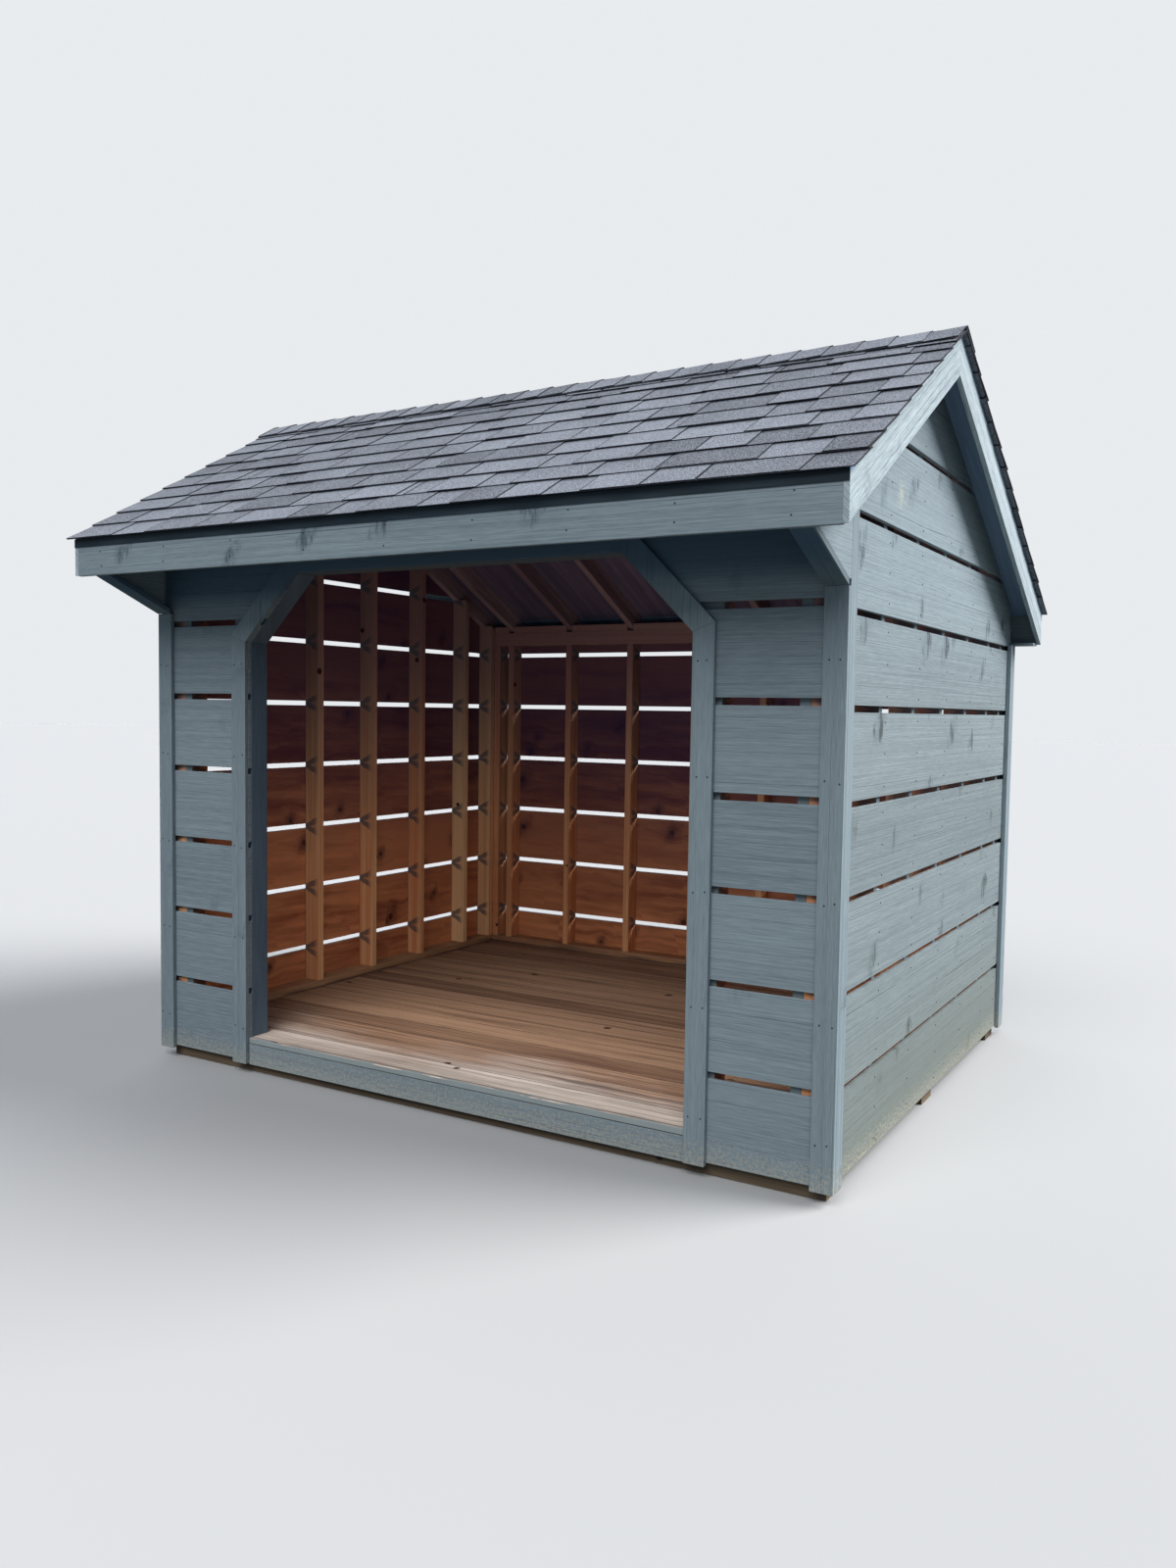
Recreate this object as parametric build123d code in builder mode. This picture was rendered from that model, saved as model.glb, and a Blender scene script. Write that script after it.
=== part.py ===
# Open-fronted firewood shed: slatted board walls on a framed floor, gable roof
# with an off-centre ridge and a deep front overhang. Lengths in millimetres.
# X runs along the front, +Y goes to the back, Z is up. The origin is on the
# ground under the middle of the roof.
import os
from math import atan, cos, radians, sin, tan

from build123d import *

os.makedirs("parts", exist_ok=True)

# Outside of the stud frame
frame_length = 3048
frame_depth = 2438

# Sawn timber
stud_width = 38
stud_depth = 89
board_thickness = 19
trim_thickness = 19
trim_width = 80
side_trim_width = 83

# Base
skid_width = 140
skid_height = 38
skid_inset = 12
floor_thickness = 25
floor_board_width = 140
floor_board_gap = 3
joist_pitch = 305
board_rise = 14
sill_board_drop = 15
trim_drop = 10

# Board walls: width of a board and the air gap above it
front_board = 288
front_gap = 25
side_board = 286
side_gap = 23

# Stud layout
stud_pitch = 406
side_stud_start = 443
jamb_stud_count = 2

# Opening in the front, measured to the faces of its trim
opening_width = 2065
opening_height = 1955
opening_corner = 275
header_height = 184
plate_height = 38
block_depth = 38

# Roof
front_slope = 7 / 12
back_slope = 6 / 12
ridge_setback = 802
front_overhang = 373
back_overhang = 103
gable_overhang = 106
rafter_depth = 89
rafter_notch = 15.5
fascia_height = 140
rake_width = 120
ridge_board_height = 140
sheathing_thickness = 12
shingle_exposure = 143
shingle_thickness = 7
shingle_lip = 12
shingle_side_lip = 22
cap_width = 150
cap_thickness = 8
drip_leg = 22
drip_thickness = 3
return_drop = 274
soffit_thickness = 12

# Levels, from the skids up
joist_bottom = skid_height
joist_top = joist_bottom + stud_depth
board_base = joist_bottom + board_rise
floor_top = joist_top + floor_thickness
plate_top = floor_top + stud_width
head_level = floor_top + opening_height
front_plate_top = head_level + header_height + 2 * plate_height
front_pitch = front_board + front_gap
side_pitch = side_board + side_gap

# Places across the shed, outwards from its middle
half_frame = frame_length / 2
board_face_x = half_frame + board_thickness
trim_face_x = board_face_x + trim_thickness
rake_face_x = trim_face_x + gable_overhang
between_rakes = rake_face_x - board_thickness
roof_face_x = rake_face_x + shingle_side_lip

# Places from front to back, with the roof's edges at equal distances from the middle
front_reach = front_overhang + shingle_lip
back_reach = back_overhang + shingle_lip
frame_front = front_reach - (front_reach + frame_depth + back_reach) / 2
frame_back = frame_front + frame_depth
board_face_front = frame_front - board_thickness
trim_face_front = board_face_front - trim_thickness
board_face_back = frame_back + board_thickness
trim_face_back = board_face_back + trim_thickness
fascia_front_face = frame_front - front_overhang
fascia_front_back = fascia_front_face + board_thickness
fascia_back_face = frame_back + back_overhang
fascia_back_front = fascia_back_face - board_thickness
ridge_y = frame_front + ridge_setback

# Roof planes: the top of the rafters, under the sheathing. The front rafters are
# notched over the front plate, and that sets the height of the roof.
front_drop = 1 / cos(atan(front_slope))
back_drop = 1 / cos(atan(back_slope))
front_eave_z = front_plate_top - rafter_notch + rafter_depth * front_drop - front_overhang * front_slope
ridge_z = front_eave_z + front_slope * (ridge_y - fascia_front_face)
back_eave_z = ridge_z - back_slope * (fascia_back_face - ridge_y)


def front_line(y, depth=0.0):
    """Height of the front roof plane at y, lowered square to it by depth."""
    return ridge_z - front_slope * (ridge_y - y) - depth * front_drop


def back_line(y, depth=0.0):
    """Height of the back roof plane at y, lowered square to it by depth."""
    return ridge_z - back_slope * (y - ridge_y) - depth * back_drop


def roof_line(y, depth=0.0):
    """Height under the roof at y, whichever slope covers it."""
    return min(front_line(y, depth), back_line(y, depth))


# Skids: three flat timbers along the shed
skid_places = {
    "skid_front": frame_front + skid_inset,
    "skid_middle": (frame_front + frame_back - skid_width) / 2,
    "skid_back": frame_back - skid_inset - skid_width,
}
for skid_name, skid_y in skid_places.items():
    with BuildPart() as skid:
        with BuildSketch(Plane.XY):
            with Locations((0, skid_y + skid_width / 2)):
                Rectangle(frame_length, skid_width)
        extrude(amount=skid_height)
    skid.part.label = skid_name
    export_step(skid.part, f"parts/{skid_name}.step")

# Floor frame: rim joists front and back, joists between them
with BuildPart() as rim_joists:
    with BuildSketch(Plane.XY.offset(joist_bottom)):
        with Locations((0, frame_front + stud_width / 2), (0, frame_back - stud_width / 2)):
            Rectangle(frame_length, stud_width)
    extrude(amount=stud_depth)
rim_joists.part.label = "rim_joists"
export_step(rim_joists.part, "parts/rim_joists.step")

joist_count = int((frame_length - stud_width) / joist_pitch) + 1
joist_spacing = (frame_length - stud_width) / (joist_count - 1)
with BuildPart() as floor_joists:
    with BuildSketch(Plane.XY.offset(joist_bottom)):
        with Locations((0, (frame_front + frame_back) / 2)):
            with GridLocations(joist_spacing, 0, joist_count, 1):
                Rectangle(stud_width, frame_depth - 2 * stud_width)
    extrude(amount=stud_depth)
floor_joists.part.label = "floor_joists"
export_step(floor_joists.part, "parts/floor_joists.step")

# Floor boards along the shed. The first one noses out over the sill board.
floor_rows = round((frame_depth + floor_board_gap) / (floor_board_width + floor_board_gap))
floor_pitch = (frame_depth + floor_board_gap) / floor_rows
with BuildPart() as floor_boards:
    with BuildSketch(Plane.XY.offset(joist_top)):
        for row in range(floor_rows):
            with Locations((0, frame_front + row * floor_pitch)):
                Rectangle(frame_length, floor_pitch - floor_board_gap, align=(Align.CENTER, Align.MIN))
        with Locations((0, frame_front)):
            Rectangle(opening_width, board_thickness, align=(Align.CENTER, Align.MAX))
    extrude(amount=floor_thickness)
floor_boards.part.label = "floor_boards"
export_step(floor_boards.part, "parts/floor_boards.step")

# Sill board: the painted face under the nosing
with BuildPart() as sill_board:
    with BuildSketch(Plane.XZ.offset(-frame_front)):
        with Locations((0, joist_top)):
            Rectangle(opening_width, joist_top - board_base + sill_board_drop, align=(Align.CENTER, Align.MAX))
    extrude(amount=board_thickness)
sill_board.part.label = "sill_board"
export_step(sill_board.part, "parts/sill_board.step")

# Bottom plates. The side ones run through, the others fit between them.
half_opening = opening_width / 2
jamb_face = half_opening + board_thickness
between_sides = half_frame - stud_depth
with BuildPart() as side_bottom_plates:
    with BuildSketch(Plane.XY.offset(floor_top)):
        with Locations((0, (frame_front + frame_back) / 2)):
            with GridLocations(frame_length - stud_depth, 0, 2, 1):
                Rectangle(stud_depth, frame_depth)
    extrude(amount=stud_width)
side_bottom_plates.part.label = "side_bottom_plates"
export_step(side_bottom_plates.part, "parts/side_bottom_plates.step")

with BuildPart() as cross_bottom_plates:
    with BuildSketch(Plane.XY.offset(floor_top)):
        with Locations((0, frame_back)):
            Rectangle(2 * between_sides, stud_depth, align=(Align.CENTER, Align.MAX))
        with Locations((jamb_face, frame_front)):
            Rectangle(between_sides - jamb_face, stud_depth, align=(Align.MIN, Align.MIN))
        with Locations((-jamb_face, frame_front)):
            Rectangle(between_sides - jamb_face, stud_depth, align=(Align.MAX, Align.MIN))
    extrude(amount=stud_width)
cross_bottom_plates.part.label = "cross_bottom_plates"
export_step(cross_bottom_plates.part, "parts/cross_bottom_plates.step")

# Side wall studs run up to the gable rafters and are cut to their slope
side_stud_fronts = [frame_front]
side_stud_count = int((frame_depth - side_stud_start - stud_depth - stud_width) / stud_pitch) + 1
for step in range(side_stud_count):
    side_stud_fronts.append(frame_front + side_stud_start + step * stud_pitch - stud_width / 2)
side_stud_fronts.append(frame_back - stud_depth - stud_width)
side_stud_fronts.append(frame_back - stud_width)
for side_name, stud_x in (("left", -half_frame), ("right", between_sides)):
    with BuildPart() as side_studs:
        with BuildSketch(Plane.YZ.offset(stud_x)):
            for stud_front in side_stud_fronts:
                stud_back = stud_front + stud_width
                with BuildLine():
                    Polyline(
                        (stud_front, plate_top),
                        (stud_back, plate_top),
                        (stud_back, roof_line(stud_back, rafter_depth)),
                        (stud_front, roof_line(stud_front, rafter_depth)),
                        close=True,
                    )
                make_face()
        extrude(amount=stud_depth)
    side_studs.part.label = f"{side_name}_wall_studs"
    export_step(side_studs.part, f"parts/{side_name}_wall_studs.step")

# Back wall studs and the doubled plate on them
back_plate_top = back_line(frame_back - stud_width, rafter_depth)
back_plate_bottom = back_plate_top - 2 * plate_height
back_stud_count = int((frame_length - stud_depth - stud_width) / stud_pitch)
back_stud_places = [half_frame - (step + 1) * stud_pitch for step in range(back_stud_count)]
with BuildPart() as back_wall_studs:
    with BuildSketch(Plane.XY.offset(plate_top)):
        for stud_x in back_stud_places:
            with Locations((stud_x, frame_back)):
                Rectangle(stud_width, stud_depth, align=(Align.CENTER, Align.MAX))
        with Locations((0, frame_back - stud_depth / 2)):
            with GridLocations(2 * between_sides - stud_width, 0, 2, 1):
                Rectangle(stud_width, stud_depth)
    extrude(amount=back_plate_bottom - plate_top)
back_wall_studs.part.label = "back_wall_studs"
export_step(back_wall_studs.part, "parts/back_wall_studs.step")

with BuildPart() as back_top_plate:
    with BuildSketch(Plane.XY.offset(back_plate_bottom)):
        with Locations((0, frame_back)):
            Rectangle(2 * between_sides, stud_depth, align=(Align.CENTER, Align.MAX))
    extrude(amount=2 * plate_height)
back_top_plate.part.label = "back_top_plate"
export_step(back_top_plate.part, "parts/back_top_plate.step")

# Front wall studs: one in each corner and a pair beside the opening
with BuildPart() as front_wall_studs:
    with BuildSketch(Plane.XY.offset(plate_top)):
        with Locations((0, frame_front + stud_depth / 2)):
            with GridLocations(2 * jamb_face + jamb_stud_count * stud_width, 0, 2, 1):
                Rectangle(jamb_stud_count * stud_width, stud_depth)
            with GridLocations(2 * between_sides - stud_width, 0, 2, 1):
                Rectangle(stud_width, stud_depth)
    extrude(amount=head_level - plate_top)
front_wall_studs.part.label = "front_wall_studs"
export_step(front_wall_studs.part, "parts/front_wall_studs.step")

# Header over the opening, the doubled plate on it and the corner braces below
with BuildPart() as front_header:
    with BuildSketch(Plane.XY.offset(head_level)):
        with Locations((0, frame_front)):
            Rectangle(2 * between_sides, stud_depth, align=(Align.CENTER, Align.MIN))
    extrude(amount=header_height)
front_header.part.label = "front_header"
export_step(front_header.part, "parts/front_header.step")

with BuildPart() as front_top_plate:
    with BuildSketch(Plane.XY.offset(head_level + header_height)):
        with Locations((0, frame_front)):
            Rectangle(2 * between_sides, stud_depth, align=(Align.CENTER, Align.MIN))
    extrude(amount=2 * plate_height)
front_top_plate.part.label = "front_top_plate"
export_step(front_top_plate.part, "parts/front_top_plate.step")

brace_side = stud_width * 2 ** 0.5
with BuildPart() as knee_braces:
    with BuildSketch(Plane.XZ.offset(-frame_front)) as brace_profile:
        with BuildLine():
            Polyline(
                (half_opening, head_level - opening_corner),
                (half_opening, head_level - opening_corner + brace_side),
                (half_opening - opening_corner + brace_side, head_level),
                (half_opening - opening_corner, head_level),
                close=True,
            )
        make_face()
        mirror(about=Plane.YZ)
    extrude(amount=-stud_depth)
knee_braces.part.label = "knee_braces"
export_step(knee_braces.part, "parts/knee_braces.step")

# Jamb boards line the sides of the opening up to the braces
with BuildPart() as jamb_boards:
    with BuildSketch(Plane.XY.offset(floor_top)):
        with Locations((0, frame_front)):
            with GridLocations(opening_width + board_thickness, 0, 2, 1):
                Rectangle(board_thickness, stud_depth, align=(Align.CENTER, Align.MIN))
    extrude(amount=opening_height)
jamb_boards.part.label = "jamb_boards"
export_step(jamb_boards.part, "parts/jamb_boards.step")

# Rafters: a gable pair flush with the ends, common ones over the back studs
rafter_places = [-half_frame]
for stud_x in reversed(back_stud_places):
    rafter_places.append(stud_x - stud_width / 2)
rafter_places.append(half_frame - stud_width)
rafter_head_front = ridge_y - board_thickness / 2
rafter_head_back = ridge_y + board_thickness / 2
with BuildPart() as front_rafters:
    for rafter_x in rafter_places:
        with BuildSketch(Plane.YZ.offset(rafter_x)):
            with BuildLine():
                Polyline(
                    (fascia_front_back, front_line(fascia_front_back)),
                    (rafter_head_front, front_line(rafter_head_front)),
                    (rafter_head_front, front_line(rafter_head_front, rafter_depth)),
                    (fascia_front_back, front_line(fascia_front_back, rafter_depth)),
                    close=True,
                )
            make_face()
            with Locations((frame_front, front_plate_top)):
                Rectangle(stud_depth, header_height, align=(Align.MIN, Align.MAX), mode=Mode.SUBTRACT)
        extrude(amount=stud_width)
front_rafters.part.label = "front_rafters"
export_step(front_rafters.part, "parts/front_rafters.step")

with BuildPart() as back_rafters:
    for rafter_x in rafter_places:
        with BuildSketch(Plane.YZ.offset(rafter_x)):
            with BuildLine():
                Polyline(
                    (rafter_head_back, back_line(rafter_head_back)),
                    (fascia_back_front, back_line(fascia_back_front)),
                    (fascia_back_front, back_line(fascia_back_front, rafter_depth)),
                    (rafter_head_back, back_line(rafter_head_back, rafter_depth)),
                    close=True,
                )
            make_face()
            with Locations((frame_back, back_plate_top)):
                Rectangle(stud_depth, header_height, align=(Align.MAX, Align.MAX), mode=Mode.SUBTRACT)
        extrude(amount=stud_width)
back_rafters.part.label = "back_rafters"
export_step(back_rafters.part, "parts/back_rafters.step")

# Ridge board between the rafter heads
with BuildPart() as ridge_board:
    with BuildSketch(Plane.YZ.offset(-half_frame)):
        with BuildLine():
            Polyline(
                (rafter_head_front, front_line(rafter_head_front)),
                (ridge_y, ridge_z),
                (rafter_head_back, back_line(rafter_head_back)),
                (rafter_head_back, ridge_z - ridge_board_height),
                (rafter_head_front, ridge_z - ridge_board_height),
                close=True,
            )
        make_face()
    extrude(amount=frame_length)
ridge_board.part.label = "ridge_board"
export_step(ridge_board.part, "parts/ridge_board.step")

# Blocks between the back rafters, flat on the back plate
with BuildPart() as rafter_blocks:
    with BuildSketch(Plane.XY.offset(back_plate_top)):
        for left_x, right_x in zip(rafter_places, rafter_places[1:]):
            block_start = max(left_x + stud_width, -between_sides)
            block_end = min(right_x, between_sides)
            with Locations((block_start, frame_back - stud_depth)):
                Rectangle(block_end - block_start, block_depth, align=Align.MIN)
    extrude(amount=stud_width)
rafter_blocks.part.label = "rafter_blocks"
export_step(rafter_blocks.part, "parts/rafter_blocks.step")

# Side wall boards, cut under the roof at the gables
side_rows = int((ridge_z - board_base) / side_pitch) + 1
for side_name, board_x in (("left", -board_face_x), ("right", half_frame)):
    with BuildPart() as side_wall_boards:
        with BuildSketch(Plane.YZ.offset(board_x)):
            for row in range(side_rows):
                with Locations((frame_front, board_base + row * side_pitch)):
                    Rectangle(frame_depth, side_board, align=Align.MIN)
            with BuildLine():
                Polyline(
                    (frame_front, board_base),
                    (frame_back, board_base),
                    (frame_back, back_line(frame_back)),
                    (ridge_y, ridge_z),
                    (frame_front, front_line(frame_front)),
                    close=True,
                )
            make_face(mode=Mode.INTERSECT)
        extrude(amount=board_thickness)
    side_wall_boards.part.label = f"{side_name}_wall_boards"
    export_step(side_wall_boards.part, f"parts/{side_name}_wall_boards.step")

# Back wall boards, up to the rafters
back_boards_top = back_line(board_face_back, rafter_depth)
back_rows = int((back_boards_top - board_base) / side_pitch) + 1
with BuildPart() as back_wall_boards:
    with BuildSketch(Plane.XZ.offset(-board_face_back)):
        for row in range(back_rows):
            row_base = board_base + row * side_pitch
            with Locations((0, row_base)):
                Rectangle(2 * board_face_x, min(side_board, back_boards_top - row_base), align=(Align.CENTER, Align.MIN))
    extrude(amount=board_thickness)
back_wall_boards.part.label = "back_wall_boards"
export_step(back_wall_boards.part, "parts/back_wall_boards.step")

# Front boards beside the opening, cut to its corners
opening_shoulder = head_level - opening_corner
head_half = half_opening - opening_corner
front_boards_top = front_line(board_face_front, rafter_depth)
front_rows = int((front_boards_top - board_base) / front_pitch) + 1
for side_name, side_sign in (("left", -1), ("right", 1)):
    with BuildPart() as front_boards:
        with BuildSketch(Plane.XZ.offset(-frame_front)):
            for row in range(front_rows):
                row_base = board_base + row * front_pitch
                row_top = min(row_base + front_board, front_boards_top)
                with BuildLine():
                    Polyline(
                        (side_sign * head_half, row_base),
                        (side_sign * board_face_x, row_base),
                        (side_sign * board_face_x, row_top),
                        (side_sign * head_half, row_top),
                        close=True,
                    )
                make_face()
            with BuildLine():
                Polyline(
                    (side_sign * head_half, board_base),
                    (side_sign * half_opening, board_base),
                    (side_sign * half_opening, opening_shoulder),
                    (side_sign * head_half, head_level),
                    close=True,
                )
            make_face(mode=Mode.SUBTRACT)
        extrude(amount=board_thickness)
    front_boards.part.label = f"front_{side_name}_boards"
    export_step(front_boards.part, f"parts/front_{side_name}_boards.step")

# Boards over the opening, in line with the rows beside it
with BuildPart() as header_boards:
    with BuildSketch(Plane.XZ.offset(-frame_front)):
        for row in range(front_rows):
            row_base = max(board_base + row * front_pitch, head_level)
            row_top = min(board_base + row * front_pitch + front_board, front_boards_top)
            if row_top > row_base:
                with Locations((0, row_base)):
                    Rectangle(2 * head_half, row_top - row_base, align=(Align.CENTER, Align.MIN))
    extrude(amount=board_thickness)
header_boards.part.label = "header_boards"
export_step(header_boards.part, "parts/header_boards.step")

# Trim round the opening, mitred at its corners
trim_foot = board_base - trim_drop
mitre = trim_width * tan(radians(22.5))
with BuildPart() as opening_side_trims:
    with BuildSketch(Plane.XZ.offset(-board_face_front)):
        with BuildLine():
            Polyline(
                (half_opening, trim_foot),
                (half_opening + trim_width, trim_foot),
                (half_opening + trim_width, opening_shoulder + mitre),
                (half_opening, opening_shoulder),
                close=True,
            )
        make_face()
        mirror(about=Plane.YZ)
    extrude(amount=trim_thickness)
opening_side_trims.part.label = "opening_side_trims"
export_step(opening_side_trims.part, "parts/opening_side_trims.step")

with BuildPart() as opening_corner_trims:
    with BuildSketch(Plane.XZ.offset(-board_face_front)):
        with BuildLine():
            Polyline(
                (half_opening, opening_shoulder),
                (half_opening + trim_width, opening_shoulder + mitre),
                (head_half + mitre, head_level + trim_width),
                (head_half, head_level),
                close=True,
            )
        make_face()
        mirror(about=Plane.YZ)
    extrude(amount=trim_thickness)
opening_corner_trims.part.label = "opening_corner_trims"
export_step(opening_corner_trims.part, "parts/opening_corner_trims.step")

with BuildPart() as opening_head_trim:
    with BuildSketch(Plane.XZ.offset(-board_face_front)):
        with BuildLine():
            Polyline(
                (-head_half, head_level),
                (head_half, head_level),
                (head_half + mitre, head_level + trim_width),
                (-head_half - mitre, head_level + trim_width),
                close=True,
            )
        make_face()
    extrude(amount=trim_thickness)
opening_head_trim.part.label = "opening_head_trim"
export_step(opening_head_trim.part, "parts/opening_head_trim.step")

# Front corners: trim on the front, a strip on the side up to the roof
return_foot = front_eave_z - return_drop
with BuildPart() as front_corner_trims:
    with BuildSketch(Plane.XZ.offset(-board_face_front)):
        with Locations((0, trim_foot)):
            with GridLocations(2 * trim_face_x - trim_width, 0, 2, 1):
                Rectangle(trim_width, return_foot - trim_foot, align=(Align.CENTER, Align.MIN))
    extrude(amount=trim_thickness)
front_corner_trims.part.label = "front_corner_trims"
export_step(front_corner_trims.part, "parts/front_corner_trims.step")

strip_back = trim_face_front + side_trim_width
with BuildPart() as front_side_strips:
    for strip_x in (-trim_face_x, board_face_x):
        with BuildSketch(Plane.YZ.offset(strip_x)):
            with BuildLine():
                Polyline(
                    (board_face_front, trim_foot),
                    (strip_back, trim_foot),
                    (strip_back, front_line(strip_back)),
                    (board_face_front, front_line(board_face_front)),
                    close=True,
                )
            make_face()
        extrude(amount=trim_thickness)
front_side_strips.part.label = "front_side_strips"
export_step(front_side_strips.part, "parts/front_side_strips.step")

# Back corners: an L of two trims under the back soffit
soffit_level = back_eave_z - fascia_height
with BuildPart() as back_corner_trims:
    with BuildSketch(Plane.XY.offset(trim_foot)):
        with BuildLine():
            Polyline(
                (trim_face_x, trim_face_back),
                (trim_face_x, trim_face_back - side_trim_width),
                (board_face_x, trim_face_back - side_trim_width),
                (board_face_x, board_face_back),
                (trim_face_x - trim_width, board_face_back),
                (trim_face_x - trim_width, trim_face_back),
                close=True,
            )
        make_face()
        mirror(about=Plane.YZ)
    extrude(amount=soffit_level - trim_foot)
back_corner_trims.part.label = "back_corner_trims"
export_step(back_corner_trims.part, "parts/back_corner_trims.step")

# Fascias between the rakes, with their top edges bevelled to the roof
with BuildPart() as front_fascia:
    with BuildSketch(Plane.YZ.offset(-between_rakes)):
        with BuildLine():
            Polyline(
                (fascia_front_face, front_eave_z - fascia_height),
                (fascia_front_back, front_eave_z - fascia_height),
                (fascia_front_back, front_line(fascia_front_back)),
                (fascia_front_face, front_eave_z),
                close=True,
            )
        make_face()
    extrude(amount=2 * between_rakes)
front_fascia.part.label = "front_fascia"
export_step(front_fascia.part, "parts/front_fascia.step")

with BuildPart() as back_fascia:
    with BuildSketch(Plane.YZ.offset(-between_rakes)):
        with BuildLine():
            Polyline(
                (fascia_back_face, soffit_level),
                (fascia_back_front, soffit_level),
                (fascia_back_front, back_line(fascia_back_front)),
                (fascia_back_face, back_eave_z),
                close=True,
            )
        make_face()
    extrude(amount=2 * between_rakes)
back_fascia.part.label = "back_fascia"
export_step(back_fascia.part, "parts/back_fascia.step")

# Soffit under the back eave
with BuildPart() as back_soffit:
    with BuildSketch(Plane.XY.offset(soffit_level)):
        with Locations((0, board_face_back)):
            Rectangle(2 * between_rakes, fascia_back_front - board_face_back, align=(Align.CENTER, Align.MIN))
    extrude(amount=soffit_thickness)
back_soffit.part.label = "back_soffit"
export_step(back_soffit.part, "parts/back_soffit.step")

# Rake boards stand off the gables, meet in a plumb joint at the ridge and cover the
# ends of the fascias
with BuildPart() as front_rakes:
    for rake_x in (-rake_face_x, between_rakes):
        with BuildSketch(Plane.YZ.offset(rake_x)):
            with BuildLine():
                Polyline(
                    (fascia_front_face, front_eave_z),
                    (ridge_y, ridge_z),
                    (ridge_y, front_line(ridge_y, rake_width)),
                    (fascia_front_face, front_line(fascia_front_face, rake_width)),
                    close=True,
                )
            make_face()
        extrude(amount=board_thickness)
front_rakes.part.label = "front_rakes"
export_step(front_rakes.part, "parts/front_rakes.step")

with BuildPart() as back_rakes:
    for rake_x in (-rake_face_x, between_rakes):
        with BuildSketch(Plane.YZ.offset(rake_x)):
            with BuildLine():
                Polyline(
                    (ridge_y, ridge_z),
                    (fascia_back_face, back_eave_z),
                    (fascia_back_face, back_line(fascia_back_face, rake_width)),
                    (ridge_y, back_line(ridge_y, rake_width)),
                    close=True,
                )
            make_face()
        extrude(amount=board_thickness)
back_rakes.part.label = "back_rakes"
export_step(back_rakes.part, "parts/back_rakes.step")

# Returns: the side of the front overhang, cut on a slant from the corner trim up
# to the fascia, with a trim board under the slant
return_rise = front_eave_z - fascia_height - return_foot
return_slope = return_rise / (trim_face_front - fascia_front_back)
trim_rise = trim_thickness / cos(atan(return_slope))
return_top = return_foot + trim_rise
with BuildPart() as return_sides:
    for return_x in (-trim_face_x, board_face_x):
        with BuildSketch(Plane.YZ.offset(return_x)):
            with BuildLine():
                Polyline(
                    (fascia_front_back, return_top + return_rise),
                    (trim_face_front, return_top),
                    (board_face_front, return_top),
                    (board_face_front, front_line(board_face_front)),
                    (fascia_front_back, front_line(fascia_front_back)),
                    close=True,
                )
            make_face()
        extrude(amount=trim_thickness)
return_sides.part.label = "return_sides"
export_step(return_sides.part, "parts/return_sides.step")

with BuildPart() as return_trims:
    for return_x in (-trim_face_x, trim_face_x - trim_width):
        with BuildSketch(Plane.YZ.offset(return_x)):
            with BuildLine():
                Polyline(
                    (trim_face_front, return_foot),
                    (trim_face_front, return_top),
                    (fascia_front_back, return_top + return_rise),
                    (fascia_front_back, return_foot + return_rise),
                    close=True,
                )
            make_face()
        extrude(amount=trim_width)
return_trims.part.label = "return_trims"
export_step(return_trims.part, "parts/return_trims.step")

# The two roof slopes as planes: local x runs up the slope from the fascia, local y
# stands square to it
front_tilt = atan(front_slope)
back_tilt = atan(back_slope)
front_length = (ridge_y - fascia_front_face) * front_drop
back_length = (fascia_back_face - ridge_y) * back_drop


def front_plane(x):
    """Plane across the front slope, facing +X."""
    return Plane(
        origin=(x, fascia_front_face, front_eave_z),
        x_dir=(0, cos(front_tilt), sin(front_tilt)),
        z_dir=(1, 0, 0),
    )


def back_plane(x):
    """Plane across the back slope, facing -X."""
    return Plane(
        origin=(x, fascia_back_face, back_eave_z),
        x_dir=(0, -cos(back_tilt), sin(back_tilt)),
        z_dir=(-1, 0, 0),
    )


# Roof sheathing, plumb-cut at the eave and at the ridge
slopes = (
    ("front", front_plane, -1, front_length, front_slope),
    ("back", back_plane, 1, back_length, back_slope),
)
for slope_name, slope_plane, start_side, slope_length, slope in slopes:
    cut = sheathing_thickness * slope
    with BuildPart() as roof_sheathing:
        with BuildSketch(slope_plane(start_side * rake_face_x)):
            with BuildLine():
                Polyline(
                    (0, 0),
                    (slope_length, 0),
                    (slope_length + cut, sheathing_thickness),
                    (cut, sheathing_thickness),
                    close=True,
                )
            make_face()
        extrude(amount=2 * rake_face_x)
    roof_sheathing.part.label = f"{slope_name}_sheathing"
    export_step(roof_sheathing.part, f"parts/{slope_name}_sheathing.step")

# Shingle courses: each one starts on the course below and steps down to the next
for slope_name, slope_plane, start_side, slope_length, slope in slopes:
    courses = int(slope_length / shingle_exposure) + 1
    butt = sheathing_thickness + shingle_thickness
    foot = sheathing_thickness + shingle_thickness / 2
    outline = [(-shingle_lip, sheathing_thickness)]
    for course in range(courses):
        start = course * shingle_exposure - shingle_lip
        end = min(start + shingle_exposure, slope_length + foot * slope)
        outline.append((start, butt))
        outline.append((end, foot))
    outline.append((slope_length + sheathing_thickness * slope, sheathing_thickness))
    with BuildPart() as shingles:
        with BuildSketch(slope_plane(start_side * roof_face_x)):
            with BuildLine():
                Polyline(*outline, close=True)
            make_face()
        extrude(amount=2 * roof_face_x)
    shingles.part.label = f"{slope_name}_shingles"
    export_step(shingles.part, f"parts/{slope_name}_shingles.step")

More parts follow.
